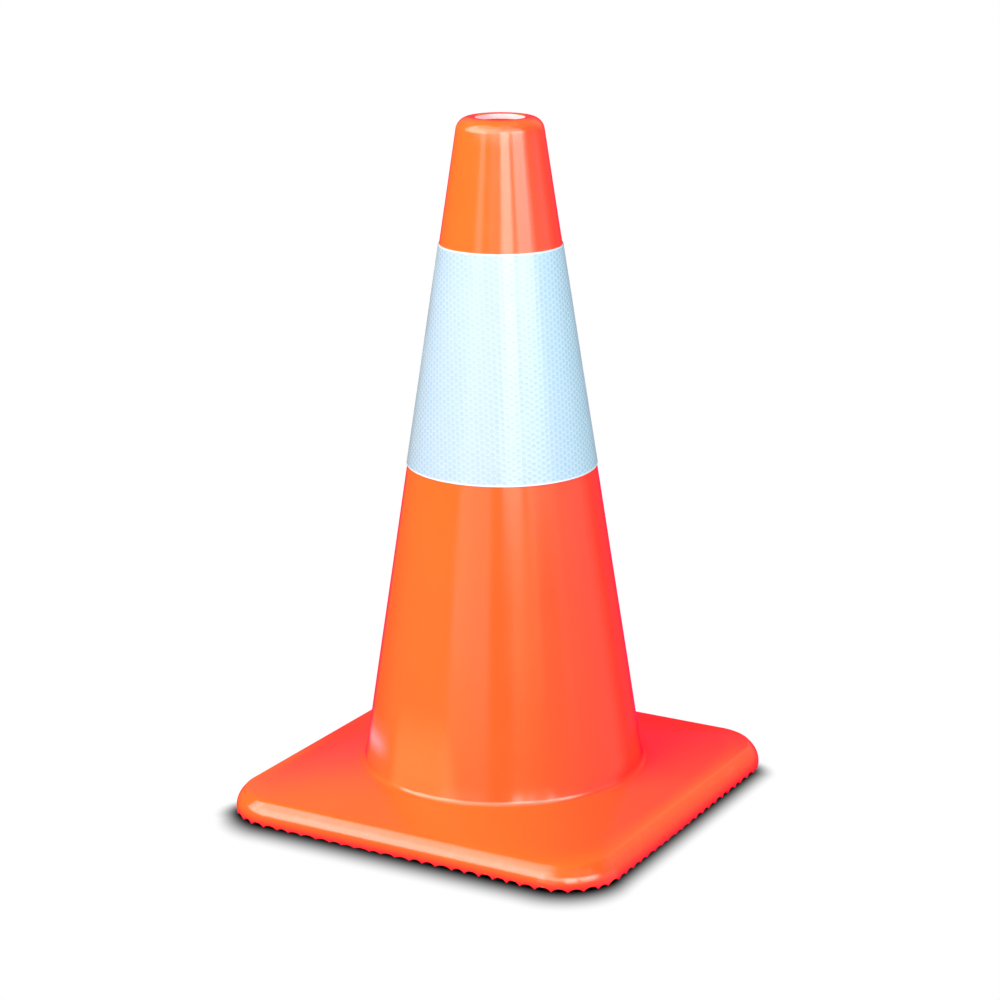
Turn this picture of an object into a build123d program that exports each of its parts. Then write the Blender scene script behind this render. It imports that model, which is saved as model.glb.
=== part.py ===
"""An 18 inch traffic cone: orange PVC skin, dark ballast slab and a bonded reflective band.

Frame: origin on the floor under the cone's axis, +Z up, one flat side of the base to the front (-Y).
"""
from build123d import *
from math import atan2, cos, degrees, hypot, radians, sin, tan
import os

# ---- driving dimensions, mm -------------------------------------------------------------------
height = 457.2                # overall height, 18 in
# tapered body
axis_foot_r = 98.2            # outer radius of the taper carried down to the floor
taper = 0.155                 # radius lost per millimetre of height
wall = 3.0                    # skin thickness of the body
foot_z = 23.2                 # height of the deck at the foot of the body
foot_round = 4.4              # fillet between body and deck
lip_round = 9.0               # outer rounding over to the top lip
lip_thick = 4.6
socket_r = 16.0               # hole through the top
socket_round = 1.0            # softened edges of the hole
# square base
base_side = 283.0
corner_r = 39.0
rim_wall_z = 8.8              # where the upright wall would meet the bevel, before rounding
rim_bevel_in = 6.6            # how far in the bevel ends
rim_bevel_z = 16.0            # height of the bevel's inner edge
rim_round = 15.0              # rounding between wall and bevel
bevel_round = 5.0             # rounding between bevel and deck
deck_thick = 3.2              # skin thickness of the deck and rim
# scalloped lower edge
tooth_count = 104
arch_r = 4.9
arch_depth = 2.6
# underside of the ballast
slab_z = 3.0                  # the slab's underside stands this far above the floor
land_width = 7.0              # flat ring round the mouth that touches the floor
nub_r = 4.5
nub_draft = 10.0              # degrees
nub_pitch = 18.0
nub_margin = 12.0             # nubs keep this far from the rim
# reflective band
band_low = 229.6
band_high = 375.8
layer = 0.2                   # thickness of each of its three layers
seam_at = 90.0                # direction of the seam, degrees from +X: the back
lap = 13.0                    # degrees that the outer end runs over the inner one
end_gap = 0.4                 # degrees of air at the covered end

# ---- values that follow -----------------------------------------------------------------------
wall_across = wall * hypot(1, taper)                  # the body's wall measured level
foot_reach = foot_round * tan(radians(45) - atan2(taper, 1) / 2)
deck_inner_r = axis_foot_r - taper * foot_z + foot_reach
bevel_angle = atan2(rim_bevel_z - rim_wall_z, rim_bevel_in)
deck_angle = atan2(foot_z - rim_bevel_z, base_side / 2 - rim_bevel_in - deck_inner_r)
edge_half = base_side / 2 - rim_bevel_in               # half the side of the deck's outer edge
side_span = 2 * degrees(atan2(base_side / 2 - corner_r, edge_half))   # turn of one flat side
band_stack = 3 * layer
mid_band_r = axis_foot_r - taper * (band_low + band_high) / 2
riser = degrees(layer / mid_band_r)                   # a layer's thickness seen as an angle


def body_r(z):
    """Outer radius of the tapered body at height z."""
    return axis_foot_r - taper * z


def inner_r(z):
    """Inner radius of the tapered body at height z."""
    return body_r(z) - wall_across


def rounded_square(side, radius, z):
    """A flat rounded square centred on the axis at height z."""
    with BuildSketch(Plane.XY.offset(z), mode=Mode.PRIVATE) as outline:
        RectangleRounded(side, side, radius)
    return outline.sketch


def split_circle(radius, z):
    """A flat disc at height z, its rim cut into eight arcs to match a rounded square's edges."""
    with BuildSketch(Plane.XY.offset(z), mode=Mode.PRIVATE) as outline:
        with BuildLine():
            for quarter in range(4):
                side_start = 90 * quarter - side_span / 2
                CenterArc((0, 0), radius, side_start, side_span)
                CenterArc((0, 0), radius, side_start + side_span, 90 - side_span)
        make_face()
    return outline.sketch


def base_block(skin, bottom):
    """Add the crowned base shape, every face moved in by skin, down to the height bottom."""
    side = base_side - 2 * skin
    wall_top = rim_wall_z - skin * tan((radians(90) - bevel_angle) / 2)
    edge_slope = (bevel_angle + deck_angle) / 2
    edge_shift = skin / cos((bevel_angle - deck_angle) / 2)
    bevel_in = rim_bevel_in + edge_shift * sin(edge_slope)
    bevel_z = rim_bevel_z - edge_shift * cos(edge_slope)
    crown_z = foot_z - skin / cos(deck_angle)
    low = rounded_square(side, corner_r - skin, bottom)
    extrude(low, amount=wall_top - bottom)
    shoulder = rounded_square(side, corner_r - skin, wall_top)
    edge = rounded_square(base_side - 2 * bevel_in, corner_r - bevel_in, bevel_z)
    crown = split_circle(deck_inner_r, crown_z)
    loft([shoulder, edge], ruled=True)
    loft([edge, crown], ruled=True)


def wrap(near, far, start, sweep):
    """Add a sheet round the body, from near to far off its surface, from angle start on."""
    out = (cos(radians(start)), sin(radians(start)), 0)
    facing = (sin(radians(start)), -cos(radians(start)), 0)
    lean = hypot(1, taper)
    with BuildSketch(Plane(origin=(0, 0, 0), x_dir=out, z_dir=facing), mode=Mode.PRIVATE) as section:
        with BuildLine():
            Polyline(
                (body_r(band_low) + near * lean, band_low),
                (body_r(band_low) + far * lean, band_low),
                (body_r(band_high) + far * lean, band_high),
                (body_r(band_high) + near * lean, band_high),
                close=True,
            )
        make_face()
    revolve(section.sketch, axis=Axis.Z, revolution_arc=sweep)


def band_layer(index):
    """Add one layer of the band: all the way round, up the step at the seam and over the start."""
    near = index * layer
    far = near + layer
    first = seam_at - lap / 2
    turn = 360 - end_gap - index * riser
    wrap(near, far, first, turn)
    wrap(near, far + band_stack, first + turn - riser, riser)
    wrap(near + band_stack, far + band_stack, first + turn - riser, 360 + lap - turn + riser)


# ---- shared cutters ---------------------------------------------------------------------------
with BuildPart() as hollow:                   # the nesting space inside the body
    with BuildSketch(Plane.XZ):
        with BuildLine():
            Polyline(
                (0, -1),
                (inner_r(-1), -1),
                (inner_r(height - lip_thick), height - lip_thick),
                (0, height - lip_thick),
                close=True,
            )
        make_face()
        shoulder = (inner_r(height - lip_thick), height - lip_thick, 0)
        fillet(vertices().sort_by_distance(shoulder)[0], radius=lip_round - wall)
    revolve(axis=Axis.Z)

with BuildPart() as under_deck:               # the space under the deck, filled by the ballast
    base_block(deck_thick, -1)

with BuildSketch() as footprint:
    RectangleRounded(base_side, base_side, corner_r)
edge_line = footprint.sketch.wire()
arch_planes = []
for tooth in range(tooth_count):
    place = (tooth + 0.5) / tooth_count
    spot = edge_line @ place
    along = edge_line % place
    arch_planes.append(
        Plane(
            origin=(spot.X, spot.Y, arch_depth - arch_r),
            x_dir=along,
            z_dir=along.cross(Vector(0, 0, 1)),
        )
    )

# ---- orange skin ------------------------------------------------------------------------------
with BuildPart() as cone_skin:
    base_block(0, 0)
    fillet(edges().filter_by_position(Axis.Z, rim_wall_z - 0.1, rim_wall_z + 0.1), radius=rim_round)
    fillet(edges().filter_by_position(Axis.Z, rim_bevel_z - 0.1, rim_bevel_z + 0.1), radius=bevel_round)
    with BuildSketch(Plane.XZ):
        with BuildLine():
            Polyline(
                (0, foot_z - 1),
                (deck_inner_r, foot_z - 1),
                (deck_inner_r, foot_z),
                (body_r(foot_z), foot_z),
                (body_r(height), height),
                (0, height),
                close=True,
            )
        make_face()
        fillet(vertices().sort_by_distance((body_r(foot_z), foot_z, 0))[0], radius=foot_round)
        fillet(vertices().sort_by_distance((body_r(height), height, 0))[0], radius=lip_round)
    revolve(axis=Axis.Z)
    add(under_deck.part, mode=Mode.SUBTRACT)
    add(hollow.part, mode=Mode.SUBTRACT)
    with Locations((0, 0, height)):
        Hole(socket_r, depth=2 * lip_thick)
    fillet(edges().filter_by(GeomType.CIRCLE).filter_by(lambda e: abs(e.radius - socket_r) < 0.1),
           radius=socket_round)
    with BuildSketch(*arch_planes):
        Circle(arch_r)
    extrude(amount=deck_thick + 1, both=True, mode=Mode.SUBTRACT)

# ---- dark ballast slab ------------------------------------------------------------------------
land_r = inner_r(0) + land_width
nub_limit = base_side / 2 - deck_thick - nub_margin
nub_spots = []
for nub in GridLocations(nub_pitch, nub_pitch, 14, 14):
    x, y = nub.position.X, nub.position.Y
    corner_x = max(abs(x) - nub_limit + corner_r, 0)
    corner_y = max(abs(y) - nub_limit + corner_r, 0)
    in_rim = hypot(corner_x, corner_y) < corner_r
    if in_rim and hypot(x, y) > land_r + 2 * nub_r:
        nub_spots.append((x, y))

with BuildPart() as base_ballast:
    base_block(deck_thick, slab_z)
    with BuildSketch():
        Circle(land_r)
    extrude(amount=slab_z)
    with BuildSketch(Plane.XY.offset(slab_z)):
        with Locations(*nub_spots):
            Circle(nub_r)
    extrude(amount=-slab_z, taper=nub_draft)
    add(hollow.part, mode=Mode.SUBTRACT)

# ---- reflective band --------------------------------------------------------------------------
with BuildPart() as collar_adhesive:
    band_layer(0)

with BuildPart() as collar_reflector:
    band_layer(1)

with BuildPart() as collar_face_film:
    band_layer(2)

# ---- files ------------------------------------------------------------------------------------
os.makedirs("parts", exist_ok=True)

cone_skin.part.label = "cone_skin"
export_step(cone_skin.part, "parts/cone_skin.step")

base_ballast.part.label = "base_ballast"
export_step(base_ballast.part, "parts/base_ballast.step")

collar_adhesive.part.label = "collar_adhesive"
export_step(collar_adhesive.part, "parts/collar_adhesive.step")

collar_reflector.part.label = "collar_reflector"
export_step(collar_reflector.part, "parts/collar_reflector.step")

collar_face_film.part.label = "collar_face_film"
export_step(collar_face_film.part, "parts/collar_face_film.step")
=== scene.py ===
"""Looks for a traffic cone: orange PVC skin, dark ballast and a honeycomb reflective band.

Everything is in metres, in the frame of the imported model. The skin and the three layers of the band
are rebuilt as fine meshes in the places that the frame gives them. The ballast keeps its own mesh and
gets a new material.
"""
import math

import bmesh
import bpy
import numpy as np
from mathutils import Matrix, Vector
from mathutils.geometry import delaunay_2d_cdt


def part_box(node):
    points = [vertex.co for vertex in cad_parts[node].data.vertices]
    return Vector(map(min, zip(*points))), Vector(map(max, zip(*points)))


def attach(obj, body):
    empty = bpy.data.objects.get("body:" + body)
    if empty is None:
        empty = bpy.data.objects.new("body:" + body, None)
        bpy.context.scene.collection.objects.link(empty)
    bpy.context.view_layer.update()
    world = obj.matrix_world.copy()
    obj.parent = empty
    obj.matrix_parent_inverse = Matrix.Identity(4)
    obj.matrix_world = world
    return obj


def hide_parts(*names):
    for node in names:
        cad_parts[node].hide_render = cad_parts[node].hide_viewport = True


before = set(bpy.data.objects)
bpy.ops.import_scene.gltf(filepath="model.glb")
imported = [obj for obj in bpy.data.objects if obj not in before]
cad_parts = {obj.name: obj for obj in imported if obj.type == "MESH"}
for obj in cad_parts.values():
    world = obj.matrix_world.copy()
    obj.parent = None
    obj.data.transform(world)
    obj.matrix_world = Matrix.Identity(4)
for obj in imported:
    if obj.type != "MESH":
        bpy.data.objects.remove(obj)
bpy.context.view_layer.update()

MM = 0.001
TAU = 2 * math.pi

# ---- sizes read from the frame ------------------------------------------------------------------
_, skin_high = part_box("cone_skin")
film_low, film_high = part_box("collar_face_film")
HEIGHT = skin_high.z
HALF_SIDE = skin_high.x
BAND_LOW, BAND_HIGH = film_low.z, film_high.z

# ---- sizes of the design ------------------------------------------------------------------------
TAPER = 0.155                      # radius lost per unit of height
LEAN = math.atan(TAPER)
LAYER = 0.2 * MM                   # one layer of the band
WALL = 3.0 * MM
FOOT_Z = 23.2 * MM                 # height of the deck where the body stands on it
FOOT_ROUND = 4.4 * MM
AXIS_R = film_high.x - 3 * LAYER / math.cos(LEAN) + TAPER * BAND_LOW
LIP_ROUND, LIP_THICK = 9 * MM, 4.6 * MM
SOCKET_R, SOCKET_ROUND = 16 * MM, 1.0 * MM
CORNER_R = 39 * MM
BEVEL_IN, BEVEL_Z = 6.6 * MM, 16 * MM
BEVEL_ROUND = 5.0 * MM
RIM_CORNER_Z, RIM_ROUND = 8.8 * MM, 15 * MM
DECK_THICK = 3.2 * MM
DECK_CROWN = 0.1                   # how far the deck bulges over a straight slope

# the soft body stands a little askew on its base
BODY_SHIFT = 0.9 * MM
BODY_LEAN = 0.0026
SHIFT_WAY = math.radians(29.5)

CAM_AZIMUTH = math.radians(-60.52)        # the side that the camera looks at
CAM_WAY = (math.cos(CAM_AZIMUTH), math.sin(CAM_AZIMUTH), 0)          # level, towards the camera
CAM_RIGHT = (-math.sin(CAM_AZIMUTH), math.cos(CAM_AZIMUTH), 0)       # level, to the camera's right
TEETH, COLUMNS_PER_TOOTH, FINE_PER_COARSE = 104, 10, 4
FINE = TEETH * COLUMNS_PER_TOOTH          # columns round the rim
COARSE = FINE // FINE_PER_COARSE          # columns round the body
dice = np.random.default_rng(18)


def body_r(z):
    """Outer radius of the tapered body at height z."""
    return AXIS_R - TAPER * z


def inner_r(z):
    """Inner radius of the tapered body at height z."""
    return body_r(z) - WALL / math.cos(LEAN)


def smooth_step(value, start, end):
    """0 before start, 1 after end, smooth between; start may be the larger one."""
    t = np.clip((value - start) / (end - start), 0, 1)
    return t * t * (3 - 2 * t)


def foot_swell(theta, z):
    """Uneven swelling where the body meets the deck, a moulding fault on the camera's side."""
    high, middle_z, spread = 0.2 * MM, 1.6 * MM, 2 * MM
    turn = np.degrees(theta - CAM_AZIMUTH)
    length = smooth_step(turn, 1.5, 4.5) * smooth_step(turn, 32, 18)
    lumps = 1 + 0.45 * np.sin(turn * 0.9 + 2.5)
    return high * length * lumps * np.exp(-(((z - FOOT_Z - middle_z) / spread) ** 2))


def moulding_wave(theta, z):
    """How far the soft moulding strays from a true cone, as a level distance."""
    lean = (BODY_SHIFT - BODY_LEAN * z) * np.cos(theta - SHIFT_WAY)
    out_of_round = 0.16 * MM * np.cos(2 * theta + 0.7) + 0.07 * MM * np.cos(3 * theta + 2.1)
    slow = 0.06 * MM * np.sin(z / (31 * MM) + 1.3) * np.cos(theta * 4 + z / (60 * MM))
    fade = np.clip((HEIGHT - z) / (60 * MM), 0, 1)
    return (out_of_round + slow) * fade + lean + foot_swell(theta, z)


# ---- outline of the base ------------------------------------------------------------------------
STRAIGHT = HALF_SIDE - CORNER_R           # half the straight stretch of one side
CORNER_RUN = CORNER_R * math.pi / 2
QUARTER = 2 * STRAIGHT + CORNER_RUN


def outline(run, inset):
    """Points on the base's outline at distance run from the front's middle, moved in by inset."""
    quarter = np.floor(run / QUARTER)
    t = run - quarter * QUARTER
    turn = np.clip((t - STRAIGHT) / CORNER_R, 0, math.pi / 2)
    x = np.minimum(t, STRAIGHT) + (CORNER_R - inset) * np.sin(turn)
    y = -STRAIGHT - (CORNER_R - inset) * np.cos(turn) + np.maximum(t - STRAIGHT - CORNER_RUN, 0)
    spin = quarter * math.pi / 2
    return np.cos(spin) * x - np.sin(spin) * y, np.sin(spin) * x + np.cos(spin) * y


def tooth_layout():
    """Where each fine column stands along the outline, and how high the lower edge is there."""
    tip_spread, skew_spread = 0.11, 0.12      # in tooth widths
    shallowest, deepest = 2.1, 3.1            # mm
    deep_places, deep_start = 4, -0.5         # the cut runs deeper and shallower round the rim
    arch_power = 0.75
    pitch = 4 * QUARTER / TEETH
    tips = (np.arange(TEETH) + dice.uniform(-tip_spread, tip_spread, TEETH)) * pitch
    ups = 0.72 + 0.28 * np.sin(np.arange(TEETH) * TAU / TEETH * deep_places + deep_start)
    depths = dice.uniform(shallowest, deepest, TEETH) * MM * ups
    skew = dice.uniform(-skew_spread, skew_spread, TEETH)
    ends = np.append(tips[1:], tips[0] + 4 * QUARTER)
    part = np.arange(COLUMNS_PER_TOOTH) / COLUMNS_PER_TOOTH
    run = (tips[:, None] + (ends - tips)[:, None] * part).ravel() % (4 * QUARTER)
    bent = part + skew[:, None] * part * (1 - part)
    arch = depths[:, None] * np.sin(math.pi * bent) ** arch_power
    return run, arch.ravel()


RUN, ARCH = tooth_layout()
AROUND_X, AROUND_Y = outline(RUN, BEVEL_IN)
THETA = np.arctan2(AROUND_Y, AROUND_X)


# ---- mesh helpers -------------------------------------------------------------------------------
def mesh_object(name, points, faces, materials):
    """A mesh object from points and faces."""
    mesh = bpy.data.meshes.new(name)
    mesh.from_pydata([tuple(p) for p in points], [], faces)
    mesh.validate()
    thing = bpy.data.objects.new(name, mesh)
    bpy.context.scene.collection.objects.link(thing)
    for material in materials:
        mesh.materials.append(material)
    return thing


def corner_arc(before, corner, after, radius, steps):
    """Points of a rounded corner between two straight stretches of a profile."""
    p, c, n = (np.array(v, float) for v in (before, corner, after))
    a = (p - c) / np.linalg.norm(p - c)
    b = (n - c) / np.linalg.norm(n - c)
    half = math.acos(np.clip(np.dot(a, b), -1, 1)) / 2
    reach = radius / math.tan(half)
    middle = c + (a + b) / np.linalg.norm(a + b) * radius / math.sin(half)
    start, end = c + a * reach - middle, c + b * reach - middle
    whole = math.acos(np.clip(np.dot(start, end) / radius**2, -1, 1))
    spots = []
    for k in range(steps + 1):
        t = k / steps
        near_start, near_end = math.sin((1 - t) * whole), math.sin(t * whole)
        spots.append(middle + (near_start * start + near_end * end) / math.sin(whole))
    return spots


def stretch(a, b, steps):
    """Evenly spaced points between two profile points, without its ends."""
    a, b = np.array(a, float), np.array(b, float)
    return [a + (b - a) * k / steps for k in range(1, steps)]


def ring_mesh(rings):
    """Points and faces that join each ring to the next, and the last ring to the first."""
    starts = np.concatenate([[0], np.cumsum([len(ring) for ring in rings])])
    faces = []
    for index, ring in enumerate(rings):
        after = (index + 1) % len(rings)
        a, b = int(starts[index]), int(starts[after])
        n, m = len(ring), len(rings[after])
        if n == m:
            faces += [(a + j, b + j, b + (j + 1) % n, a + (j + 1) % n) for j in range(n)]
        elif n < m:
            faces += fan_faces(a, n, b, m)
        else:
            faces += [tuple(reversed(face)) for face in fan_faces(b, m, a, n)]
    return np.concatenate(rings), faces


def fan_faces(few, n, many, m):
    """Triangles that join a ring of n points to a ring with a whole multiple of n."""
    each = m // n
    faces = []
    for j in range(n):
        near, far = few + j, few + (j + 1) % n
        fine = [many + (j * each + k) % m for k in range(each + 1)]
        middle = each // 2
        faces += [(near, fine[k], fine[k + 1]) for k in range(middle)]
        faces.append((near, fine[middle], far))
        faces += [(far, fine[k], fine[k + 1]) for k in range(middle, each)]
    return faces


# ---- orange skin --------------------------------------------------------------------------------
LIP_UNDER = HEIGHT - LIP_THICK
TOP_CORNER, FOOT_CORNER = (body_r(HEIGHT), HEIGHT), (body_r(FOOT_Z), FOOT_Z)      # as (radius, height)
HOLE_TOP, HOLE_FOOT = (SOCKET_R, HEIGHT), (SOCKET_R, LIP_UNDER)


def round_ring(r, z):
    """A ring of coarse columns on the body at radius r and height z, with the moulding's wave."""
    theta = THETA[::FINE_PER_COARSE]
    real_r = r + moulding_wave(theta, z)
    return np.stack([real_r * np.cos(theta), real_r * np.sin(theta), np.full(COARSE, z)], 1)


def rim_ring(inset, z, step=1):
    """A ring on the base's outline, moved in by inset; z is one height or one for each column."""
    run = RUN[::step]
    x, y = outline(run, inset)
    return np.stack([x, y, np.broadcast_to(z, run.shape)], 1)


def deck_ring(foot, part, step):
    """A ring part of the way from the bevel's edge (0) to the foot of the body (1)."""
    edge = rim_ring(BEVEL_IN, BEVEL_Z, step)
    if step == 1:
        rows = np.arange(FINE) / FINE_PER_COARSE
        whole = np.arange(COARSE + 1)
        foot = np.stack([np.interp(rows, whole, np.append(foot[:, k], foot[0, k])) for k in range(3)], 1)
    ring = edge + (foot - edge) * part
    ring[:, 2] = edge[:, 2] + (foot[:, 2] - edge[:, 2]) * (part + DECK_CROWN * part * (1 - part))
    return ring


def body_rings():
    """Rings from the hole's upper edge over the lip and down the body to the deck."""
    deck_side = (FOOT_CORNER[0] + 30 * MM, FOOT_Z - 4.5 * MM)      # a point further down the deck
    profile = corner_arc(HOLE_FOOT, HOLE_TOP, TOP_CORNER, SOCKET_ROUND, 4)
    lip = corner_arc(HOLE_TOP, TOP_CORNER, FOOT_CORNER, LIP_ROUND, 12)
    foot = corner_arc(TOP_CORNER, FOOT_CORNER, deck_side, FOOT_ROUND, 9)
    profile += stretch(profile[-1], lip[0], 3) + lip + stretch(lip[-1], foot[0], 46) + foot
    return [round_ring(r, z) for r, z in profile]


def base_rings(foot_ring):
    """Rings over the deck, round the rim, under the scalloped edge and up its inside."""
    rings = [deck_ring(foot_ring, part, FINE_PER_COARSE) for part in (0.93, 0.8, 0.65, 0.5, 0.37, 0.27)]
    rings += [deck_ring(foot_ring, part, 1) for part in (0.18, 0.11)]

    # rounded rim, as (inset, height)
    deck_edge, rim_corner = (BEVEL_IN, BEVEL_Z), (0, RIM_CORNER_Z)
    deck_way = (BEVEL_IN + 10 * MM, BEVEL_Z + 1.6 * MM)            # a point further up the deck
    rim = corner_arc(deck_way, deck_edge, rim_corner, BEVEL_ROUND, 7)
    shoulder = corner_arc(deck_edge, rim_corner, (0, 0), RIM_ROUND, 9)
    rim += stretch(rim[-1], shoulder[0], 2) + shoulder
    rings += [rim_ring(inset, z) for inset, z in rim]

    # scalloped edge: down the wall, under the teeth and up the inside
    wall_z, edge_round = shoulder[-1][1], 0.8 * MM
    for part in (0.2, 0.4, 0.6, 0.8, 1.0):
        rings.append(rim_ring(0, wall_z + (edge_round - wall_z) * part + ARCH * part**1.5))
    under = corner_arc((0, 1), (0, 0), (1, 0), edge_round, 3)[1:]
    back = [(DECK_THICK - inset, z) for inset, z in reversed(under)]
    rings += [rim_ring(inset, z + ARCH) for inset, z in under + back]
    inner_wall_z = 7.0 * MM
    for part in (0.25, 0.6, 1.0):
        straight_z = edge_round + (inner_wall_z - edge_round) * part
        rings.append(rim_ring(DECK_THICK, straight_z + ARCH * (1 - part)))
    return rings


def inside_rings():
    """Rings under the deck, where the ballast hides them, then up the hollow to the hole."""
    deck_under = FOOT_Z - DECK_THICK / math.cos(math.radians(13))
    rings = [
        rim_ring(BEVEL_IN + 1.2 * MM, BEVEL_Z - 3.0 * MM, FINE_PER_COARSE),
        round_ring(FOOT_CORNER[0] + 3 * MM, deck_under),
    ]
    mouth, inner_corner = (inner_r(deck_under), deck_under), (inner_r(LIP_UNDER), LIP_UNDER)
    lip = corner_arc(mouth, inner_corner, HOLE_FOOT, LIP_ROUND - WALL, 7)
    hole_edge = corner_arc(inner_corner, HOLE_FOOT, HOLE_TOP, SOCKET_ROUND, 4)
    profile = [mouth] + stretch(mouth, lip[0], 24) + lip + stretch(lip[-1], hole_edge[0], 2) + hole_edge
    return rings + [round_ring(r, z) for r, z in profile]


def skin_rings():
    """The skin's closed section as rings, from the hole's upper edge, outside first."""
    outside = body_rings()
    return outside + base_rings(outside[-1]) + inside_rings()


# ---- reflective band ----------------------------------------------------------------------------
SEAM = math.radians(90 - 6.5)          # where the covered end of the band starts
LAP = math.radians(13)
LIFT = 3 * LAYER                       # the outer end runs over the inner one by this much
STEP_RUN = math.radians(4.0)           # the outer end climbs over this angle, wider than a cell
APEX_Z = AXIS_R / TAPER
SHEET = math.sin(LEAN)                 # a flat sheet turns this much for each radian round the cone
GRID_TURN = math.radians(313)          # the cells' rows run along the slope at this angle
ROLL_OUT = 0.05                        # metres drawn for one radian while the film is cut to size
LEFT_END, RIGHT_END = SEAM * ROLL_OUT, (SEAM + TAU + LAP) * ROLL_OUT
EDGE_LINE, END_LINE = 1.1 * MM, 0.4 * MM      # plain sealed line along the film's sides and ends
CELL = 3.8 * MM                        # distance between neighbouring cells
RELIEF = 0.025 * MM                    # the sealed walls stand this high over the cells
WALL_TOP = 0.88                        # where a wall's flat top ends, as a share of a cell's side
POOL, POOL_SPREAD = 0.69, 0.03         # size of a cell's floor, as a share of its side
KEYS_PER_MM = 50                       # corners are matched on a grid this fine
TINTS = 5                              # materials: so many for cells, then the seal, then the edge
SEAL, EDGE = TINTS, TINTS + 1


def sheet_point(theta, z, off):
    """A point of the band: angle along the sheet, height, and distance out from the body's skin."""
    climb = np.clip((theta - (SEAM + TAU) + STEP_RUN) / STEP_RUN, 0, 1)
    out = off + LIFT * climb * climb * (3 - 2 * climb)
    r = body_r(z) + moulding_wave(theta, z) + out * math.cos(LEAN)
    return np.stack([r * np.cos(theta), r * np.sin(theta), z + 0 * theta], -1)


def plain_sheet(name, near, material):
    """One plain layer of the band as a closed strip whose two ends meet as a lap."""
    columns, rows = 420, 12
    theta = np.linspace(SEAM, SEAM + TAU + LAP, columns)
    z = np.linspace(BAND_LOW, BAND_HIGH, rows)
    grid_t, grid_z = np.meshgrid(theta, z)
    outer = sheet_point(grid_t.ravel(), grid_z.ravel(), near + LAYER)
    inner = sheet_point(grid_t.ravel(), grid_z.ravel(), near)
    count = columns * rows
    faces = []
    for i in range(rows - 1):
        for j in range(columns - 1):
            a = i * columns + j
            faces.append((a, a + 1, a + columns + 1, a + columns))
            faces.append(tuple(count + k for k in (a, a + columns, a + columns + 1, a + 1)))
    border = list(range(columns))
    border += [i * columns + columns - 1 for i in range(1, rows)]
    border += [(rows - 1) * columns + j for j in range(columns - 2, -1, -1)]
    border += [i * columns for i in range(rows - 2, 0, -1)]
    for a, b in zip(border, border[1:] + border[:1]):
        faces.append((a, count + a, count + b, b))
    sheet = mesh_object(name, np.concatenate([outer, inner]), faces, [material])
    sheet.data.shade_smooth()
    return sheet


def unit_polygon(sides):
    """Corners of a regular polygon of radius 1."""
    turns = [math.radians(360 / sides * k) for k in range(sides)]
    return [(math.cos(turn), math.sin(turn)) for turn in turns]


def cell_places():
    """Middles of the cells that lie on the flat sheet, or so near it that they are cut by its edge."""
    low_rho, high_rho = ((APEX_Z - z) / math.cos(LEAN) for z in (BAND_HIGH, BAND_LOW))
    low_ang, high_ang = ((angle - GRID_TURN) * SHEET for angle in (SEAM, SEAM + TAU + LAP))
    across, up = CELL * math.sqrt(3) / 2, CELL
    reach = 2 * CELL
    columns, rows = int(high_rho / across) + 2, int(high_rho / up) + 2
    for i in range(-columns, columns + 1):
        for j in range(-rows, 2):
            x, y = i * across, (j + 0.5 * (i % 2)) * up
            rho, ang = math.hypot(x, y), math.atan2(x, -y)
            spare = reach / rho if rho else 0
            in_slope = low_rho - reach < rho < high_rho + reach
            if in_slope and low_ang - spare < ang < high_ang + spare:
                yield x, y


def cell_grid():
    """Honeycomb relief laid out on the flat sheet: points, faces and each face's material."""
    side = CELL / math.sqrt(3)
    hexagon, dozen = unit_polygon(6), unit_polygon(12)
    points, faces, paints, shared = [], [], [], {}
    for x, y in cell_places():
        corners = []
        for cx, cy in hexagon:
            px, py = x + cx * side, y + cy * side
            key = (round(px / MM * KEYS_PER_MM), round(py / MM * KEYS_PER_MM))
            if key not in shared:
                shared[key] = len(points)
                points.append((px, py, 0.0))
            corners.append(shared[key])
        top = len(points)
        points += [(x + cx * side * WALL_TOP, y + cy * side * WALL_TOP, 0.0) for cx, cy in hexagon]
        pool = len(points)
        size = POOL * side * (1 + dice.uniform(-POOL_SPREAD, POOL_SPREAD))
        points += [(x + cx * size, y + cy * size, -RELIEF) for cx, cy in dozen]
        tint = int(dice.integers(TINTS))
        for k in range(6):
            after = (k + 1) % 6
            faces.append((corners[k], corners[after], top + after, top + k))
            a, b, c = pool + 2 * k, pool + 2 * k + 1, pool + (2 * k + 2) % 12
            faces += [(top + k, b, a), (top + k, top + after, b), (top + after, c, b)]
            paints += [SEAL] * 4
        faces.append(tuple(range(pool, pool + 12)))
        paints.append(tint)
    return np.array(points), faces, paints


def cut(bm, spot, normal):
    """Cut an open mesh with a plane and drop what lies on the normal's side."""
    everything = bm.verts[:] + bm.edges[:] + bm.faces[:]
    bmesh.ops.bisect_plane(
        bm, geom=everything, plane_co=spot, plane_no=normal, clear_outer=True, dist=1e-7
    )


def ordered_rim(bm):
    """The border of an open sheet as one loop of points, counter-clockwise."""
    rim = [edge for edge in bm.edges if edge.is_boundary]
    beside = {}
    for edge in rim:
        a, b = edge.verts
        beside.setdefault(a, []).append(b)
        beside.setdefault(b, []).append(a)
    start = rim[0].verts[0]
    loop, last, here = [start], None, start
    while True:
        ahead = [v for v in beside[here] if v is not last]
        last, here = here, ahead[0]
        if here is start:
            break
        loop.append(here)
    turning = sum(a.co.x * b.co.y - b.co.x * a.co.y for a, b in zip(loop, loop[1:] + loop[:1]))
    if turning < 0:
        loop.reverse()
    return loop


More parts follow.
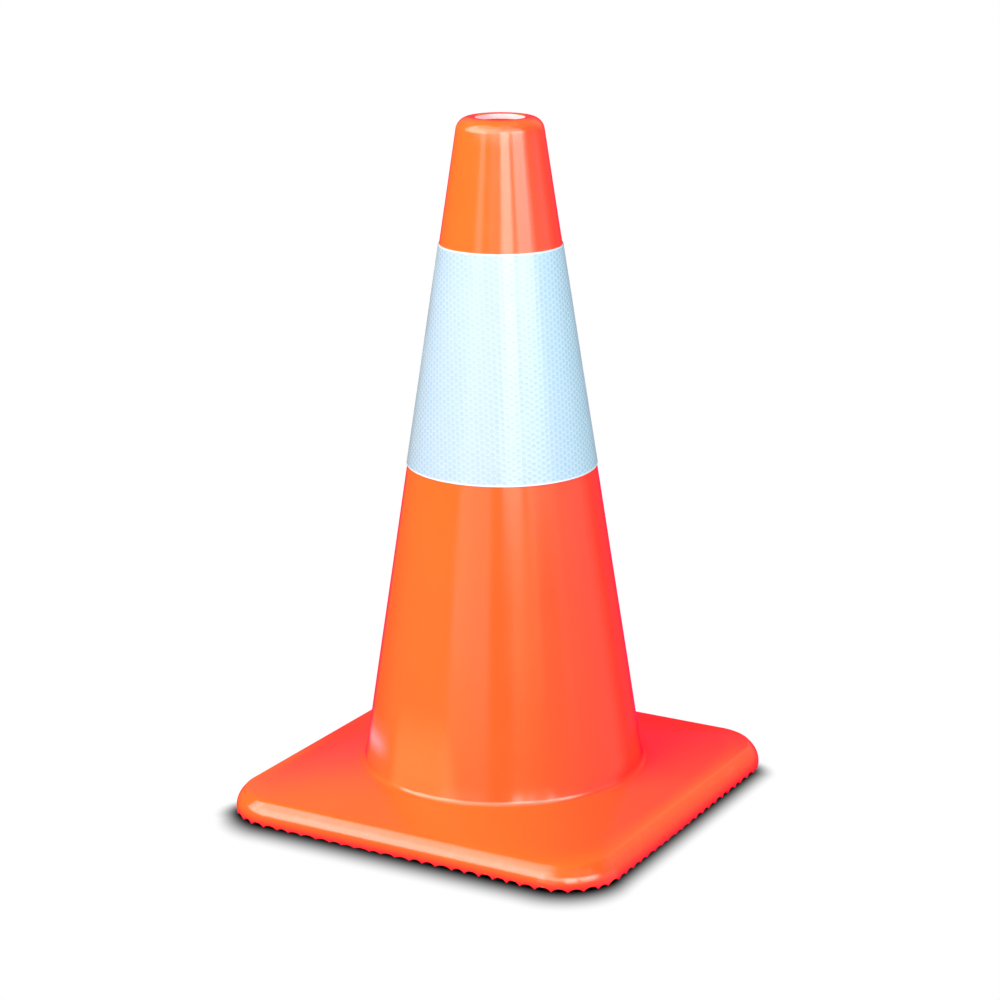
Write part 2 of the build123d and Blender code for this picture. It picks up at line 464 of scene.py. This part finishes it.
def seal_edge(bm, loop):
    """Add the plain line round the relief and the film's thin sides; give the points underneath."""
    near_cut = 1e-6                        # a point this near to a cut lies on it
    step_in = 0.25                         # how far out the line's first row of points stands
    shelf, outer, under = [], [], []
    for v in loop:
        x, y = v.co.x, v.co.y
        if x < LEFT_END + END_LINE + near_cut:
            x = LEFT_END
        elif x > RIGHT_END - END_LINE - near_cut:
            x = RIGHT_END
        if y < BAND_LOW + EDGE_LINE + near_cut:
            y = BAND_LOW
        elif y > BAND_HIGH - EDGE_LINE - near_cut:
            y = BAND_HIGH
        row = (v.co.x * (1 - step_in) + x * step_in, v.co.y * (1 - step_in) + y * step_in, 0)
        shelf.append(bm.verts.new(row))
        outer.append(bm.verts.new((x, y, 0)))
        under.append(bm.verts.new((x, y, -LAYER)))
    for k in range(len(loop)):
        after = (k + 1) % len(loop)
        for one, two in ((loop, shelf), (shelf, outer), (outer, under)):
            face = bm.faces.new((one[k], two[k], two[after], one[after]))
            face.material_index = EDGE
    return under


def close_back(bm, under):
    """Close the film's back between the points of its border, with points of its own inside."""
    columns, rows = 380, 10
    inside = [
        (LEFT_END + (RIGHT_END - LEFT_END) * i / columns, BAND_LOW + (BAND_HIGH - BAND_LOW) * j / rows)
        for i in range(1, columns)
        for j in range(1, rows)
    ]
    count = len(under)
    places = [Vector(p) for p in [(v.co.x, v.co.y) for v in under] + inside]
    border = [(k, (k + 1) % count) for k in range(count)]
    spots, _, panes, origin, _, _ = delaunay_2d_cdt(places, border, [], 1, 1e-9)
    back = []
    for spot, source in zip(spots, origin):
        known = [k for k in source if k < count]
        back.append(under[known[0]] if known else bm.verts.new((spot.x, spot.y, under[0].co.z)))
    for pane in panes:
        face = bm.faces.new([back[k] for k in reversed(pane)])
        face.material_index = EDGE


def face_film(name, near, materials):
    """The honeycomb film: relief cut to the band's size, sealed edges, sides and a plain back."""
    points, faces, paints = cell_grid()
    rho = np.hypot(points[:, 0], points[:, 1])
    theta = GRID_TURN + np.arctan2(points[:, 0], -points[:, 1]) / SHEET
    z = APEX_Z - rho * math.cos(LEAN)
    flat = np.stack([theta * ROLL_OUT, z, points[:, 2]], 1)
    bm = bmesh.new()
    verts = [bm.verts.new(tuple(p)) for p in flat]
    for face, paint in zip(faces, paints):
        bm.faces.new([verts[k] for k in face]).material_index = paint
    cut(bm, (LEFT_END + END_LINE, 0, 0), (-1, 0, 0))
    cut(bm, (RIGHT_END - END_LINE, 0, 0), (1, 0, 0))
    cut(bm, (0, BAND_LOW + EDGE_LINE, 0), (0, -1, 0))
    cut(bm, (0, BAND_HIGH - EDGE_LINE, 0), (0, 1, 0))
    close_back(bm, seal_edge(bm, ordered_rim(bm)))
    bm.normal_update()
    mesh = bpy.data.meshes.new(name)
    bm.to_mesh(mesh)
    bm.free()

    # wrap the flat film round the body
    co = np.zeros(len(mesh.vertices) * 3, np.float32)
    mesh.vertices.foreach_get("co", co)
    co = co.reshape(-1, 3).astype(float)
    placed = sheet_point(co[:, 0] / ROLL_OUT, co[:, 1], co[:, 2] + near + LAYER)
    mesh.vertices.foreach_set("co", placed.astype(np.float32).ravel())
    mesh.update()
    mesh.shade_smooth()
    mesh.set_sharp_from_angle(angle=math.radians(50))
    for material in materials:
        mesh.materials.append(material)
    film = bpy.data.objects.new(name, mesh)
    bpy.context.scene.collection.objects.link(film)
    return film


# ---- materials ----------------------------------------------------------------------------------
def new_material(name):
    """A Principled material with object coordinates, and the helpers that add nodes to it."""
    material = bpy.data.materials.new(name)
    material.use_nodes = True
    nodes, links = material.node_tree.nodes, material.node_tree.links
    shader = nodes["Principled BSDF"]

    def add(kind, **values):
        node = nodes.new(kind)
        for key, value in values.items():
            if hasattr(node, key):
                setattr(node, key, value)
            else:
                node.inputs[key.replace("_", " ")].default_value = value
        return node

    place = add("ShaderNodeTexCoord")
    return material, shader, add, links.new, place


def noise(add, link, place, scale, detail=3.0, rough=0.55):
    """A noise texture on object coordinates."""
    node = add("ShaderNodeTexNoise", Scale=scale, Detail=detail, Roughness=rough)
    link(place.outputs["Object"], node.inputs["Vector"])
    return node.outputs["Fac"]


def ramp(add, link, source, *stops):
    """A colour ramp: stops are (position, value or colour)."""
    node = add("ShaderNodeValToRGB")
    line = node.color_ramp
    line.interpolation = "EASE"
    while len(line.elements) < len(stops):
        line.elements.new(0.5)
    for element, (spot, value) in zip(line.elements, stops):
        element.position = spot
        element.color = (*value, 1) if isinstance(value, tuple) else (value, value, value, 1)
    link(source, node.inputs["Fac"])
    return node.outputs["Color"]


def mix(add, link, fac, a, b, blend="MIX"):
    """A colour mix; fac, a and b are sockets or plain values."""
    node = add("ShaderNodeMix", data_type="RGBA", blend_type=blend)
    for socket, value in ((node.inputs[0], fac), (node.inputs[6], a), (node.inputs[7], b)):
        if isinstance(value, bpy.types.NodeSocket):
            link(value, socket)
        else:
            socket.default_value = (*value, 1) if isinstance(value, tuple) else value
    return node.outputs[2]


def bump(add, link, height, strength, distance, under=None):
    """A bump node over an optional bump below it."""
    node = add("ShaderNodeBump", Strength=strength, Distance=distance)
    link(height, node.inputs["Height"])
    if under is not None:
        link(under, node.inputs["Normal"])
    return node.outputs["Normal"]


def painted(add, name):
    """The number that paint_skin stored on each point of the skin under a name."""
    return add("ShaderNodeAttribute", attribute_name=name).outputs["Fac"]


def rubbed(add, link, place):
    """Where the skin is rubbed: the painted wear, broken up into small scuffs."""
    scuffs = ramp(add, link, noise(add, link, place, 90, 5, 0.7), (0.48, 0.0), (0.66, 1.0))
    share = add("ShaderNodeMath", operation="MULTIPLY")
    link(painted(add, "wear"), share.inputs[0])
    link(scuffs, share.inputs[1])
    return share.outputs[0]


def near_floor(add, link, place):
    """How near the floor a point is, for painted shade: almost 0.95 at the tips of the teeth, 0 from the rim
    up.
    """
    height = add("ShaderNodeSeparateXYZ")
    link(place.outputs["Object"], height.inputs[0])
    share = add("ShaderNodeMapRange", interpolation_type="SMOOTHSTEP")
    link(height.outputs["Z"], share.inputs["Value"])
    for end, value in (("From Min", -1.0 * MM), ("From Max", 9.0 * MM), ("To Min", 0.95), ("To Max", 0.0)):
        share.inputs[end].default_value = value
    return share.outputs["Result"]


def skin_gloss(add, link, facing):
    """Gloss of the skin: less on dull places, at grazing angles, and on the deck seen from behind."""
    gloss = ramp(add, link, painted(add, "dull"), (0.0, 0.5), (1.0, 0.1))
    flat_on = ramp(add, link, facing, (0.64, 1.0), (0.78, 0.08))
    gloss = mix(add, link, 1.0, gloss, flat_on, "MULTIPLY")
    # seen from behind, the deck would mirror the soft boxes round the camera as a white patch
    surface = add("ShaderNodeNewGeometry")
    toward = add("ShaderNodeVectorMath", operation="DOT_PRODUCT")
    link(surface.outputs["Incoming"], toward.inputs[0])
    toward.inputs[1].default_value = CAM_WAY
    facing_up = add("ShaderNodeSeparateXYZ")
    link(surface.outputs["Normal"], facing_up.inputs[0])
    from_behind = ramp(add, link, toward.outputs["Value"], (0.0, 1.0), (0.3, 0.0))
    upward = ramp(add, link, facing_up.outputs["Z"], (0.88, 0.0), (0.97, 1.0))
    quiet = mix(add, link, 1.0, from_behind, upward, "MULTIPLY")
    return mix(add, link, quiet, gloss, (0.002, 0.002, 0.002))


def orange_skin(name, glow_colour, glow, grazing_shade):
    """Fluorescent orange PVC: soft sheen, faint flow marks, rubbed high spots, with a painted glow and
    painted light and shade.
    """
    material, shader, add, link, place = new_material(name)
    broad = noise(add, link, place, 9, 3)
    fine = noise(add, link, place, 160, 2)
    base = ramp(add, link, broad, (0.25, (0.88, 0.185, 0.010)), (0.75, (0.93, 0.205, 0.012)))
    base = mix(add, link, ramp(add, link, fine, (0.35, 0.0), (0.8, 0.12)), base, (0.95, 0.23, 0.02))
    base = mix(add, link, rubbed(add, link, place), base, (0.80, 0.27, 0.10))
    # painted shade: darker and redder towards the floor, on the lower wall and the teeth
    base = mix(add, link, near_floor(add, link, place), base, (0.62, 0.004, 0.03))
    # painted shade on the deck, to the right of and behind the body
    base = mix(add, link, painted(add, "deck_shade"), base, (0.86, 0.045, 0.03))
    # painted light: paler patches on the front left of the body
    base = mix(add, link, painted(add, "painted_light"), base, (0.95, 0.29, 0.045))
    # painted reflection: a pale glint on the left of the foot
    base = mix(add, link, painted(add, "painted_glint"), base, (0.99, 0.50, 0.48))
    # painted shade: the skin turns redder and darker where it is seen edge-on
    facing = add("ShaderNodeLayerWeight", Blend=0.5).outputs["Facing"]
    thin = ramp(add, link, facing, (0.74, 0.0), (0.95, grazing_shade))
    link(mix(add, link, thin, base, (0.9, 0.03, 0.10)), shader.inputs["Base Color"])
    # painted glow: a constant red emission stands in for the fluorescence under the studio light, so shaded
    # sides stay red too
    shader.inputs["Emission Color"].default_value = (*glow_colour, 1)
    shader.inputs["Emission Strength"].default_value = glow
    link(ramp(add, link, broad, (0.25, 0.13), (0.75, 0.19)), shader.inputs["Roughness"])
    shader.inputs["IOR"].default_value = 1.5
    link(skin_gloss(add, link, facing), shader.inputs["Specular IOR Level"])
    peel = bump(add, link, noise(add, link, place, 420, 2), 0.05, 0.0004)
    link(bump(add, link, noise(add, link, place, 34, 2), 0.04, 0.0016, peel), shader.inputs["Normal"])
    return material


def lit_edge():
    """Cut edge of the fluorescent PVC round the hole: painted pale with a painted glow, for the light that
    the edge gathers.
    """
    material, shader, add, link, place = new_material("fluorescent_pvc_edge")
    cloud = noise(add, link, place, 200, 3)
    colour = ramp(add, link, cloud, (0.3, (0.95, 0.42, 0.40)), (0.7, (0.98, 0.52, 0.50)))
    link(colour, shader.inputs["Base Color"])
    shader.inputs["Emission Color"].default_value = (1.0, 0.6, 0.64, 1)
    shader.inputs["Emission Strength"].default_value = 0.62
    link(ramp(add, link, cloud, (0.3, 0.3), (0.7, 0.45)), shader.inputs["Roughness"])
    link(bump(add, link, cloud, 0.1, 0.0003), shader.inputs["Normal"])
    return material


def dark_ballast():
    """Recycled PVC slab: near black with grey and brown grains, dull and slightly rough."""
    material, shader, add, link, place = new_material("regrind_pvc")
    grains = add("ShaderNodeTexVoronoi", Scale=330.0)
    link(place.outputs["Object"], grains.inputs["Vector"])
    dark, pale = (0.020, 0.020, 0.022), (0.075, 0.066, 0.060)
    speck = ramp(add, link, grains.outputs["Color"], (0.55, dark), (0.92, pale))
    cloud = ramp(add, link, noise(add, link, place, 22, 4), (0.35, 0.6), (0.7, 1.0))
    link(mix(add, link, 0.8, speck, cloud, "MULTIPLY"), shader.inputs["Base Color"])
    link(ramp(add, link, noise(add, link, place, 60, 3), (0.3, 0.62), (0.7, 0.8)), shader.inputs["Roughness"])
    grit = bump(add, link, noise(add, link, place, 500, 3), 0.35, 0.0004)
    link(bump(add, link, noise(add, link, place, 40, 3), 0.3, 0.002, grit), shader.inputs["Normal"])
    return material


def film_material(name, colour, glow, rough):
    """Clear acrylic over beads, seen as one tint, with a painted glow; its gloss varies a little."""
    material, shader, add, link, place = new_material(name)
    shader.inputs["Base Color"].default_value = (*colour, 1)
    shader.inputs["Emission Color"].default_value = (*glow, 1)
    shader.inputs["Emission Strength"].default_value = 1.0
    cloud = noise(add, link, place, 45, 3)
    link(ramp(add, link, cloud, (0.3, rough - 0.04), (0.7, rough + 0.06)), shader.inputs["Roughness"])
    shader.inputs["IOR"].default_value = 1.49
    link(bump(add, link, noise(add, link, place, 260, 3), 0.05, 0.0002), shader.inputs["Normal"])
    return material


def film_materials():
    """One tint for each kind of cell, then the sealed walls and the plain edge."""
    looks = []
    for shade in range(TINTS):
        lighter = shade / (TINTS - 1)
        tint = (0.535 + 0.02 * lighter, 0.685 + 0.015 * lighter, 0.83 + 0.01 * lighter)
        looks.append(film_material(f"film_cell_{shade}", tint, (0.0, 0.0, 0.0), 0.2))
    # painted glow: the sealed walls give off a little warm light so they stay pale on the shaded side; the
    # plain edge glows faintly
    looks.append(film_material("film_seal", (0.32, 0.54, 0.76), (0.35, 0.26, 0.15), 0.22))
    looks.append(film_material("film_edge", (0.85, 0.88, 0.90), (0.04, 0.04, 0.04), 0.3))
    return looks


def beads_material():
    """Silver-grey bead layer behind the film."""
    material, shader, add, link, place = new_material("glass_beads")
    grain = noise(add, link, place, 900, 2)
    colour = ramp(add, link, grain, (0.35, (0.42, 0.45, 0.48)), (0.7, (0.62, 0.66, 0.70)))
    link(colour, shader.inputs["Base Color"])
    link(ramp(add, link, grain, (0.3, 0.35), (0.7, 0.5)), shader.inputs["Roughness"])
    link(bump(add, link, grain, 0.3, 0.0002), shader.inputs["Normal"])
    return material


def glue_material():
    """Clear adhesive, slightly yellow."""
    material, shader, add, link, place = new_material("acrylic_adhesive")
    cloud = noise(add, link, place, 70, 3)
    colour = ramp(add, link, cloud, (0.35, (0.66, 0.58, 0.42)), (0.7, (0.76, 0.70, 0.55)))
    link(colour, shader.inputs["Base Color"])
    link(ramp(add, link, cloud, (0.3, 0.3), (0.7, 0.45)), shader.inputs["Roughness"])
    link(bump(add, link, cloud, 0.2, 0.0003), shader.inputs["Normal"])
    return material


# ---- build the pieces ---------------------------------------------------------------------------

def install(piece, node):
    """Let a rebuilt piece stand for a CAD node."""
    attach(piece, "root")
    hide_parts(node)


def paint(thing, name, values):
    """Store one number for each point of a mesh under a name that a material can read."""
    layer = thing.data.attributes.new(name, "FLOAT", "POINT")
    layer.data.foreach_set("value", np.asarray(values, np.float32))


def choose_skin_looks(skin):
    """Give the hole's wall the second material and the hollow's faces the third."""
    for pane in skin.data.polygons:
        spot = pane.center
        from_axis = math.hypot(spot.x, spot.y)
        in_wall = HEIGHT - 3.6 * MM < spot.z < HEIGHT - 0.5 * MM
        if from_axis < SOCKET_R + 0.5 * MM and in_wall:
            pane.material_index = 1
        elif from_axis < inner_r(spot.z) + 1.2 * MM and spot.z < LIP_UNDER + 0.5 * MM:
            pane.material_index = 2


def paint_skin(skin, points):
    """Store the skin's blush, haze, scuff, dull places and wear on its points."""
    x, y, z = points.T
    toward = x * CAM_WAY[0] + y * CAM_WAY[1]
    right = x * CAM_RIGHT[0] + y * CAM_RIGHT[1]
    around = np.degrees(np.arctan2(right, toward))      # 0 faces the camera, more is to its right
    from_axis = np.hypot(x, y)

    # painted shade: the deck and the far rim turn darker and redder to the right of and behind the body,
    # where the body shades them
    side = 0.45 * smooth_step(right, -20 * MM, 110 * MM)
    behind = (0.72 - side) * smooth_step(toward, 80 * MM, -40 * MM)
    far_rim = smooth_step(z, 8 * MM, 13 * MM) * smooth_step(toward, 10 * MM, -60 * MM)
    deck = np.maximum(smooth_step(z, 16 * MM, 18 * MM), far_rim)
    deck *= smooth_step(z, FOOT_Z + 6 * MM, FOOT_Z + 1 * MM)
    paint(skin, "deck_shade", deck * (1 - (1 - side) * (1 - behind)))

    # painted light: a paler patch low on the front left of the body, and a weak one further up
    right_end = -13 - 0.1 * z / MM
    painted_light = smooth_step(around, -57, -49) * smooth_step(around, right_end, right_end - 8)
    painted_light *= smooth_step(z, 100 * MM, 40 * MM) * smooth_step(z, FOOT_Z - 0.5 * MM, FOOT_Z + 4 * MM)
    weak = 0.2 * smooth_step(around, -75, -55) * smooth_step(around, -12, -30)
    weak *= smooth_step(z, 250 * MM, 150 * MM)
    paint(skin, "painted_light", np.maximum(painted_light, weak * (z > FOOT_Z)))

    # painted reflection: a pale glint on the left of the foot
    painted_glint = smooth_step(around, -54, -72) * smooth_step(around, -112, -98)
    paint(skin, "painted_glint", painted_glint * smooth_step(z, 34 * MM, 43 * MM) * smooth_step(z, 55 * MM, 51 * MM))

    # less gloss over the front corner's bevel and at both ends of the foot's fillet
    corner_way = np.arctan2(np.minimum(y + STRAIGHT, 0), np.maximum(x - STRAIGHT, 0))
    corner_turn = np.degrees(corner_way - CAM_AZIMUTH)
    corner = smooth_step(corner_turn, -21, -4) * smooth_step(corner_turn, 60, 40)
    corner *= smooth_step(z, 8.8 * MM, 9.8 * MM) * smooth_step(z, 17.5 * MM, 16.2 * MM)
    foot_ends = smooth_step(around, 46, 58) + smooth_step(around, -43, -47)
    foot_ends *= (z > FOOT_Z - 0.6 * MM) * smooth_step(z, 29 * MM, 27 * MM)
    paint(skin, "dull", np.maximum(corner * (from_axis > 120 * MM), foot_ends))

    # rubbed places: tooth tips, rim and the rounding of the lip
    tips = smooth_step(z, 4 * MM, 1 * MM)
    rim = smooth_step(z, 7 * MM, 11 * MM) * smooth_step(z, 16.4 * MM, 14 * MM) * (from_axis > 100 * MM)
    lip = smooth_step(z, HEIGHT - 9 * MM, HEIGHT - 4 * MM) * smooth_step(z, HEIGHT, HEIGHT - 2 * MM)
    paint(skin, "wear", 0.8 * tips + 0.35 * rim + 0.5 * lip)


skin_points, skin_faces = ring_mesh(skin_rings())
# the outside has a strong painted glow, the hole's edge is painted pale, and the hollow's copy has a weaker
# painted glow and little painted grazing shade, so the shaded inside stays darker
skin_looks = [
    orange_skin("fluorescent_pvc", (1.0, 0.0, 0.022), 0.8, 1.0),
    lit_edge(),
    orange_skin("fluorescent_pvc_inside", (1.0, 0.07, 0.01), 0.3, 0.2),
]
skin = mesh_object("cone_skin_visual", skin_points, skin_faces, skin_looks)
skin.data.shade_smooth()
choose_skin_looks(skin)
paint_skin(skin, skin_points)
install(skin, "cone_skin")

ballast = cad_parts["base_ballast"]
ballast.data.materials.clear()
ballast.data.materials.append(dark_ballast())

glue = plain_sheet("collar_adhesive_visual", 0, glue_material())
install(glue, "collar_adhesive")
beads = plain_sheet("collar_reflector_visual", LAYER, beads_material())
install(beads, "collar_reflector")
film = face_film("collar_face_film_visual", 2 * LAYER, film_materials())
install(film, "collar_face_film")

# ---- camera -------------------------------------------------------------------------------------
CAM_AWAY, CAM_UP = 1.6884, 0.6852                 # metres from the axis, and over the floor
CAM_TILT, CAM_ROLL = math.radians(16.392), math.radians(0.218)
CAM_SENSOR, CAM_LENS = 36, 95.21                  # mm
camera_data = bpy.data.cameras.new("camera")
camera_data.sensor_width, camera_data.lens = CAM_SENSOR, CAM_LENS
camera_data.shift_x, camera_data.shift_y = -0.0020, 0.0211
camera = bpy.data.objects.new("camera", camera_data)
bpy.context.scene.collection.objects.link(camera)
stand = Matrix.Translation((CAM_AWAY * CAM_WAY[0], CAM_AWAY * CAM_WAY[1], CAM_UP))
pan = Matrix.Rotation(CAM_AZIMUTH + math.pi / 2, 4, "Z")
tilt = Matrix.Rotation(math.pi / 2 - CAM_TILT, 4, "X")
camera.matrix_world = stand @ (pan @ tilt) @ Matrix.Rotation(-CAM_ROLL, 4, "Z")
bpy.context.scene.camera = camera
bpy.context.scene.view_settings.view_transform = "Standard"


# ---- lamps --------------------------------------------------------------------------------------
def only_on(thing):
    """A collection that limits a lamp to one object."""
    alone = bpy.data.collections.new(thing.name + "_only")
    alone.objects.link(thing)
    return alone


def panel(name, turn, rise, radiance, colour=(1, 1, 1), away=1.6, size=0.9, aim=0.22, lights=None):
    """A square lamp, turn degrees right of the camera as seen from the cone, rise degrees up.

    It faces the axis at height aim. It isn't mirrored: the world's soft boxes are there for that.
    """
    lamp = bpy.data.lights.new(name, "AREA")
    lamp.size = size
    lamp.energy = radiance * math.pi * size * size
    lamp.color = colour
    thing = bpy.data.objects.new(name, lamp)
    azimuth, up = CAM_AZIMUTH + math.radians(turn), math.radians(rise)
    way = Vector((math.cos(azimuth) * math.cos(up), math.sin(azimuth) * math.cos(up), math.sin(up)))
    thing.location = Vector((0, 0, aim)) + way * away
    thing.rotation_mode = "QUATERNION"
    thing.rotation_quaternion = way.to_track_quat("Z", "Y")
    thing.visible_glossy = False
    bpy.context.scene.collection.objects.link(thing)
    if lights:
        thing.light_linking.receiver_collection = lights


panel("key", -47, 42, 9.6)
panel("overhead", -20, 75, 0.9, away=1.5)
panel("under", 20, -32, 45.0, away=1.4, size=0.5, aim=0, lights=only_on(ballast))
film_only = only_on(film)
panel("band_front", 28, 22, 5.0, (1.0, 0.83, 0.94), lights=film_only)
panel("band_side", 86, 15, 4.1, (0.1, 0.96, 0.92), lights=film_only)
panel("band_left", -96, 15, 0.9, (0.4, 0.9, 0.8), lights=film_only)
panel("band_back", 180, 25, 4.0, (0.9, 0.95, 1.0), lights=film_only)


# ---- studio -------------------------------------------------------------------------------------
class NodeKit:
    """Adds nodes to an emptied node tree. Values may be sockets or plain numbers."""

    def __init__(self, tree):
        self.nodes, self.link = tree.nodes, tree.links.new
        self.nodes.clear()

    def calculate(self, kind, operation, values, result):
        """A node that does one operation on its inputs."""
        node = self.nodes.new(kind)
        node.operation = operation
        for socket, value in zip(node.inputs, values):
            if isinstance(value, bpy.types.NodeSocket):
                self.link(value, socket)
            else:
                socket.default_value = value
        return node.outputs[result]

    def number(self, operation, *values):
        """One operation on numbers."""
        return self.calculate("ShaderNodeMath", operation, values, "Value")

    def vector(self, operation, *values):
        """One operation on vectors; a dot product and a length give a number."""
        result = "Value" if operation in ("DOT_PRODUCT", "LENGTH") else "Vector"
        return self.calculate("ShaderNodeVectorMath", operation, values, result)

    def step(self, value, start, end, first=0, last=1):
        """A number that goes smoothly from first at start to last at end."""
        node = self.nodes.new("ShaderNodeMapRange")
        node.interpolation_type = "SMOOTHSTEP"
        self.link(value, node.inputs["Value"])
        for socket, number in zip(("From Min", "From Max", "To Min", "To Max"), (start, end, first, last)):
            node.inputs[socket].default_value = number
        return node.outputs["Result"]

    def choose(self, share, otherwise, chosen):
        """A mix of two shaders."""
        node = self.nodes.new("ShaderNodeMixShader")
        for socket, value in zip(node.inputs, (share, otherwise, chosen)):
            self.link(value, socket)
        return node.outputs[0]


FILL, FILL_COLOUR = 0.26, (0.84, 0.92, 1.0)
SECOND_BOUNCE = 0.15                   # soft boxes are this bright for a mirror seen in a mirror
COLD, PINK, WARM = (0.92, 0.97, 1.0), (0.5, 0.1, 1.0), (1.0, 1.0, 0.6)
# soft boxes: from and to turn, softness, from and to rise, softness (all degrees), radiance, colour
BOXES = (
    (-180, 180, 1, -90, 90, 1, 0.04, COLD),
    (-90, -12, 8, 12, 50, 2, 6.0, COLD),
    (-12, 66, 8, 12, 50, 2, 4.4, COLD),
    (-80, -42, 8, 12, 38, 5, 3.2, COLD),
    (-104, 4, 5, 50, 74, 3, 3.2, COLD),
    (4, 60, 5, 50, 74, 3, 1.3, COLD),
    (-105, -86, 3, 12, 50, 3, 5.5, COLD),
    (0, 22, 1.5, 3, 30, 2.5, 8.5, COLD),
    (30, 58, 3, 3, 30, 2, 7.4, COLD),
    (56, 66, 6, 3, 30, 2, 3.2, COLD),
    (-24, 30, 4, 4, 30, 2, 1.2, COLD),
    (56, 104, 6, -4, 30, 4, 0.65, COLD),
    (-50, -37, 3, 4, 30, 2, 2.8, COLD),
    (-52, -14, 2.5, -4.4, 4, 1.2, 1.5, COLD),
    (8, 36, 2, -3.2, 2, 1.4, 1.6, WARM),
    (36, 66, 6, -40, 4, 3, 0.4, COLD),
    (66, 114, 14, -40, 6, 4, 0.62, COLD),
    (104, 156, 16, 4, 46, 16, 0.7, WARM),
    (126, 180, 12, -40, 4, 4, 0.14, PINK),
    (146, 180, 6, 12, 46, 5, 0.16, PINK),
    (-180, -146, 6, 12, 46, 5, 0.2, PINK),
)


def soft_boxes(kit):
    """The sum of all soft boxes as a colour, for the way that a ray leaves the scene."""
    way = kit.nodes.new("ShaderNodeTexCoord").outputs["Generated"]
    ahead, aside = kit.vector("DOT_PRODUCT", way, CAM_WAY), kit.vector("DOT_PRODUCT", way, CAM_RIGHT)
    turn = kit.number("DEGREES", kit.number("ARCTAN2", aside, ahead))
    rise = kit.number("DEGREES", kit.number("ARCSINE", kit.vector("DOT_PRODUCT", way, (0, 0, 1))))

    def between(value, low, high, soft):
        on = kit.step(value, low - soft, low + soft)
        return kit.number("MULTIPLY", on, kit.step(value, high - soft, high + soft, 1, 0))

    total = (0, 0, 0)
    for left, right, side_soft, low, high, rise_soft, radiance, colour in BOXES:
        across, tall = between(turn, left, right, side_soft), between(rise, low, high, rise_soft)
        light = [radiance * part for part in colour]
        total = kit.vector("ADD", total, kit.vector("MULTIPLY", kit.number("MULTIPLY", across, tall), light))
    return total


def studio_world():
    """White for the camera, an even fill for matt surfaces, and soft boxes for shiny ones."""
    world = bpy.data.worlds.new("studio")
    world.use_nodes = True
    world.cycles.sampling_method = "NONE"
    kit = NodeKit(world.node_tree)
    path = kit.nodes.new("ShaderNodeLightPath")
    seen, fill, shine = (kit.nodes.new("ShaderNodeBackground") for _ in range(3))
    seen.inputs["Color"].default_value = (1, 1, 1, 1)
    fill.inputs["Color"].default_value = (*FILL_COLOUR, 1)
    fill.inputs["Strength"].default_value = FILL
    kit.link(soft_boxes(kit), shine.inputs["Color"])
    first = kit.number("LESS_THAN", path.outputs["Glossy Depth"], 1.5)
    strength = kit.number("MULTIPLY_ADD", first, 1 - SECOND_BOUNCE, SECOND_BOUNCE)
    kit.link(strength, shine.inputs["Strength"])
    unseen = kit.choose(path.outputs["Is Glossy Ray"], fill.outputs[0], shine.outputs[0])
    light = kit.choose(path.outputs["Is Camera Ray"], unseen, seen.outputs[0])
    kit.link(light, kit.nodes.new("ShaderNodeOutputWorld").inputs["Surface"])
    return world


SHADOW_AZIMUTH = CAM_AZIMUTH - math.radians(8)                     # the way the shadow falls
SHADOW_WAY = (math.cos(SHADOW_AZIMUTH), math.sin(SHADOW_AZIMUTH), 0)
SHADOW_FROM, SHADOW_TO = -3.4 * MM, 30.8 * MM     # black to white on the floor, out from the edge
SHADOW_SIDE, SHADOW_POWER, SHADOW_WIDTH = 0.49, 0.72, 0.95         # how much narrower it gets aside
SHADOW_TURN, SHADOW_LIFT = 0.5, 52 * MM           # sides turned further away lose it this fast


def shadow_distance(kit, spot):
    """Distance of a spot on the floor from the base's outline, longer on sides turned away."""
    over_side = kit.vector("SUBTRACT", kit.vector("ABSOLUTE", spot), (STRAIGHT, STRAIGHT, 0))
    beyond = kit.vector("MAXIMUM", over_side, (0, 0, 0))
    reach = kit.vector("LENGTH", beyond)
    outward = kit.vector("MULTIPLY", beyond, kit.vector("SIGN", spot))
    along = kit.vector("DOT_PRODUCT", outward, SHADOW_WAY)
    toward = kit.number("DIVIDE", along, kit.number("MAXIMUM", reach, 1 * MM))
    narrow = kit.number("POWER", kit.number("MAXIMUM", toward, SHADOW_SIDE), SHADOW_POWER)
    spread = kit.number("MULTIPLY", narrow, SHADOW_WIDTH)
    away = kit.number("DIVIDE", kit.number("SUBTRACT", reach, CORNER_R), spread)
    turned = kit.number("MAXIMUM", kit.number("SUBTRACT", SHADOW_TURN, toward), 0.0)
    lift = kit.number("MULTIPLY", kit.number("MULTIPLY", turned, turned), SHADOW_LIFT)
    return kit.number("ADD", away, lift)


def floor_material():
    """White paper: the camera sees plain white with a soft shadow in front of the base."""
    material = bpy.data.materials.new("paper_floor")
    material.use_nodes = True
    kit = NodeKit(material.node_tree)
    surface, path = kit.nodes.new("ShaderNodeNewGeometry"), kit.nodes.new("ShaderNodeLightPath")
    seen, matt = kit.nodes.new("ShaderNodeEmission"), kit.nodes.new("ShaderNodeBsdfDiffuse")
    gone = kit.nodes.new("ShaderNodeBsdfTransparent")
    away = shadow_distance(kit, surface.outputs["Position"])
    kit.link(kit.step(away, SHADOW_FROM, SHADOW_TO), seen.inputs["Strength"])
    matt.inputs["Color"].default_value = (0.4, 0.4, 0.4, 1)
    upper = kit.choose(path.outputs["Is Camera Ray"], matt.outputs[0], seen.outputs[0])
    paper = kit.choose(surface.outputs["Backfacing"], upper, gone.outputs[0])
    kit.link(paper, kit.nodes.new("ShaderNodeOutputMaterial").inputs["Surface"])
    return material


bpy.context.scene.world = studio_world()
FLOOR_HALF = 6                         # metres
floor_points = [(x * FLOOR_HALF, y * FLOOR_HALF, 0) for x, y in ((-1, -1), (1, -1), (1, 1), (-1, 1))]
floor = mesh_object("floor", floor_points, [(0, 1, 2, 3)], [floor_material()])
floor.visible_glossy = floor.visible_shadow = False
